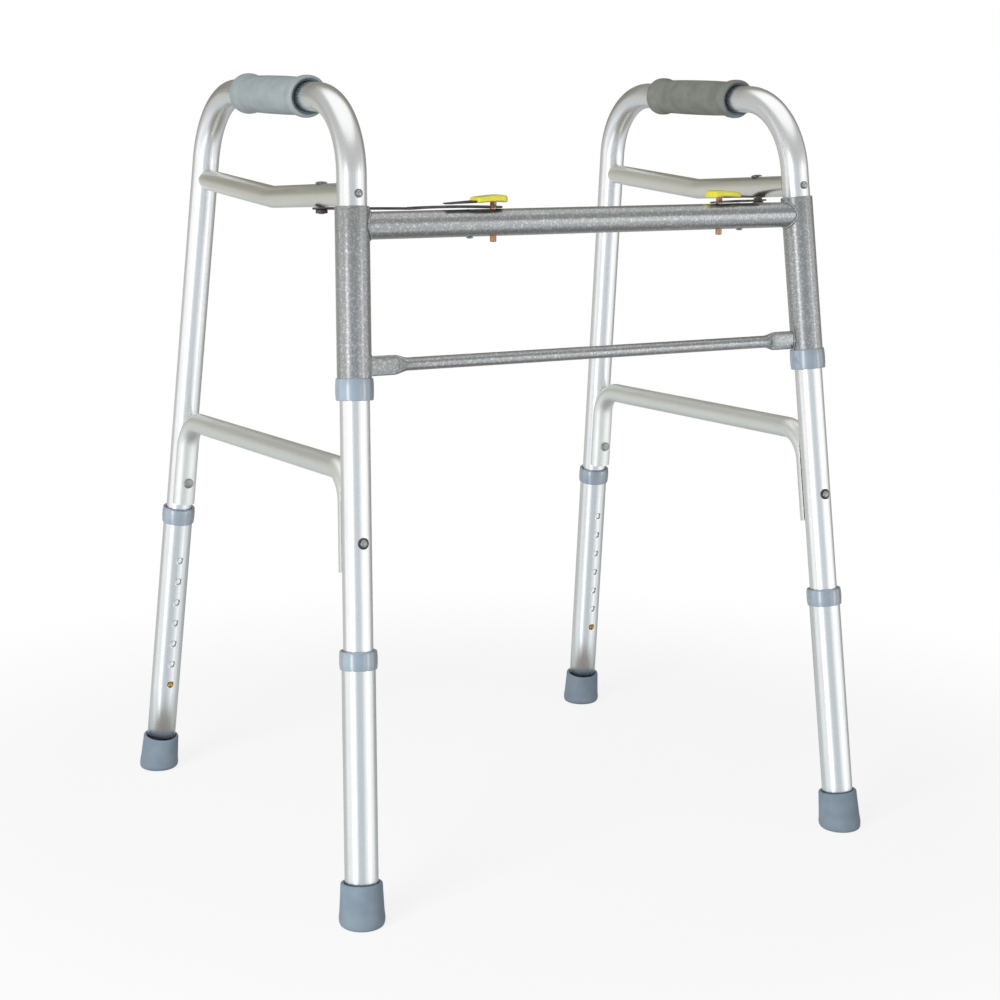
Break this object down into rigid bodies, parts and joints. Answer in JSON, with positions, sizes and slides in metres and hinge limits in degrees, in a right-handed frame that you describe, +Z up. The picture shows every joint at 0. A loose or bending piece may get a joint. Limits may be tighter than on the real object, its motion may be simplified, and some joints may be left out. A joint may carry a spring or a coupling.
{
  "type": "folding walker",
  "caption": "Folding walking frame: two tube side frames with handgrips turn in a crossbar assembly with release levers; leg tubes slide and lock with buttons.",
  "frame": {"origin": "on the floor, under the middle of the overall box", "axes": "+Z up, +X to the right of someone who faces the crossbar from outside, the crossbar on the -Y side, the open rear on +Y"},
  "size_m": [0.631, 0.584, 0.8033],
  "materials": {
    "satin_aluminium": "satin",
    "vein_paint": "silver vein, semi-gloss",
    "warm_grey_metal": "satin",
    "grip_vinyl": "soft matt foam vinyl",
    "collar_plastic": "satin moulded",
    "tip_rubber": "matt",
    "dark_steel": "dark coated, satin",
    "zinc_steel": "zinc plated",
    "spring_steel": "plain",
    "copper_pin": "copper plated",
    "brass": "plain",
    "yellow_vinyl": "dipped vinyl"
  },
  "bodies": {
    "cross_assembly": {"crossbar_upper": "vein_paint", "crossbar_lower": "vein_paint", "sleeve_left": "vein_paint", "sleeve_collar_left": "collar_plastic", "guide_rivet_left": "zinc_steel", "latch_spring_left": "spring_steel", "sleeve_right": "vein_paint", "sleeve_collar_right": "collar_plastic", "guide_rivet_right": "zinc_steel", "latch_spring_right": "spring_steel"},
    "frame_left": {"side_frame_left": "satin_aluminium", "grip_left": "grip_vinyl", "side_rail_left": "warm_grey_metal", "brace_left": "warm_grey_metal", "rail_front_screw_left": "zinc_steel", "rail_rear_screw_left": "zinc_steel", "brace_front_rivet_left": "zinc_steel", "brace_rear_rivet_left": "zinc_steel", "link_bolt_left": "zinc_steel", "link_nut_left": "zinc_steel", "snap_spring_left_front": "spring_steel", "snap_spring_left_rear": "spring_steel"},
    "link_left": {"link_plate_left": "dark_steel"},
    "lever_left": {"release_lever_left": "dark_steel", "lever_pad_left": "yellow_vinyl"},
    "pin_left": {"latch_pin_left": "copper_pin"},
    "leg_left_front": {"leg_tube_left_front": "satin_aluminium", "leg_collar_left_front": "collar_plastic", "leg_tip_left_front": "tip_rubber"},
    "button_left_front": {"snap_button_left_front": "brass"},
    "leg_left_rear": {"leg_tube_left_rear": "satin_aluminium", "leg_collar_left_rear": "collar_plastic", "leg_tip_left_rear": "tip_rubber"},
    "button_left_rear": {"snap_button_left_rear": "brass"},
    "frame_right": {"side_frame_right": "satin_aluminium", "grip_right": "grip_vinyl", "side_rail_right": "warm_grey_metal", "brace_right": "warm_grey_metal", "rail_front_screw_right": "zinc_steel", "rail_rear_screw_right": "zinc_steel", "brace_front_rivet_right": "zinc_steel", "brace_rear_rivet_right": "zinc_steel", "link_bolt_right": "zinc_steel", "link_nut_right": "zinc_steel", "snap_spring_right_front": "spring_steel", "snap_spring_right_rear": "spring_steel"},
    "link_right": {"link_plate_right": "dark_steel"},
    "lever_right": {"release_lever_right": "dark_steel", "lever_pad_right": "yellow_vinyl"},
    "pin_right": {"latch_pin_right": "copper_pin"},
    "leg_right_front": {"leg_tube_right_front": "satin_aluminium", "leg_collar_right_front": "collar_plastic", "leg_tip_right_front": "tip_rubber"},
    "button_right_front": {"snap_button_right_front": "brass"},
    "leg_right_rear": {"leg_tube_right_rear": "satin_aluminium", "leg_collar_right_rear": "collar_plastic", "leg_tip_right_rear": "tip_rubber"},
    "button_right_rear": {"snap_button_right_rear": "brass"}
  },
  "joints": [
    {"name": "fold_left", "type": "hinge", "parent": "cross_assembly", "child": "frame_left", "pos_m": [-0.26013, -0.2019, 0.6568], "axis": [-0.0398, -0.1024, -0.994], "range_deg": [0, 80]},
    {"name": "link_turn_left", "type": "hinge", "parent": "frame_left", "child": "link_left", "pos_m": [-0.2599, -0.13305, 0.66981], "axis": [-0.0358, -0.0922, -0.9951], "range_deg": [-86.5, 0]},
    {"name": "press_left", "type": "hinge", "parent": "cross_assembly", "child": "lever_left", "pos_m": [-0.1587, -0.2019, 0.6753], "axis": [0, 1, 0], "range_deg": [0, 2.06], "stiffness_Nm_per_rad": 6, "springref_deg": -1.72},
    {"name": "latch_pin_slide_left", "type": "slide", "parent": "cross_assembly", "child": "pin_left", "axis": [0, 0, -1], "range_m": [0, 0.00181], "deforming": ["latch_spring_left"]},
    {"name": "extend_left_front", "type": "slide", "parent": "frame_left", "child": "leg_left_front", "axis": [-0.0398, -0.1024, -0.994], "range_m": [0, 0.1524]},
    {"name": "button_press_left_front", "type": "slide", "parent": "frame_left", "child": "button_left_front", "axis": [0.0167, -0.9947, 0.1018], "range_m": [0, 0.0039], "stiffness_N_per_m": 900, "springref_m": -0.003, "deforming": ["snap_spring_left_front"]},
    {"name": "extend_left_rear", "type": "slide", "parent": "frame_left", "child": "leg_left_rear", "axis": [-0.0427, 0.1482, -0.988], "range_m": [0, 0.1524]},
    {"name": "button_press_left_rear", "type": "slide", "parent": "frame_left", "child": "button_left_rear", "axis": [-0.0063, 0.9889, 0.1486], "range_m": [0, 0.0039], "stiffness_N_per_m": 900, "springref_m": -0.003, "deforming": ["snap_spring_left_rear"]},
    {"name": "fold_right", "type": "hinge", "parent": "cross_assembly", "child": "frame_right", "pos_m": [0.26013, -0.2019, 0.6568], "axis": [-0.0398, 0.1024, 0.994], "range_deg": [0, 44]},
    {"name": "link_turn_right", "type": "hinge", "parent": "frame_right", "child": "link_right", "pos_m": [0.2599, -0.13305, 0.66801], "axis": [-0.0358, 0.0922, 0.9951], "range_deg": [-36.18, 0]},
    {"name": "press_right", "type": "hinge", "parent": "cross_assembly", "child": "lever_right", "pos_m": [0.2087, -0.2019, 0.6753], "axis": [0, -1, 0], "range_deg": [0, 2.06], "stiffness_Nm_per_rad": 6, "springref_deg": -1.72},
    {"name": "latch_pin_slide_right", "type": "slide", "parent": "cross_assembly", "child": "pin_right", "axis": [0, 0, -1], "range_m": [0, 0.00181], "deforming": ["latch_spring_right"]},
    {"name": "extend_right_front", "type": "slide", "parent": "frame_right", "child": "leg_right_front", "axis": [0.0398, -0.1024, -0.994], "range_m": [0, 0.1524]},
    {"name": "button_press_right_front", "type": "slide", "parent": "frame_right", "child": "button_right_front", "axis": [-0.0167, -0.9947, 0.1018], "range_m": [0, 0.0039], "stiffness_N_per_m": 900, "springref_m": -0.003, "deforming": ["snap_spring_right_front"]},
    {"name": "extend_right_rear", "type": "slide", "parent": "frame_right", "child": "leg_right_rear", "axis": [0.0427, 0.1482, -0.988], "range_m": [0, 0.1524]},
    {"name": "button_press_right_rear", "type": "slide", "parent": "frame_right", "child": "button_right_rear", "axis": [0.0063, 0.9889, 0.1486], "range_m": [0, 0.0039], "stiffness_N_per_m": 900, "springref_m": -0.003, "deforming": ["snap_spring_right_rear"]}
  ],
  "couplings": [
    {"joint": "link_turn_left", "follows": "fold_left", "ratio": -1.08},
    {"joint": "latch_pin_slide_left", "follows": "press_left", "m_per_rad": 0.05},
    {"joint": "link_turn_right", "follows": "fold_right", "ratio": -0.82},
    {"joint": "latch_pin_slide_right", "follows": "press_right", "m_per_rad": 0.05}
  ]
}
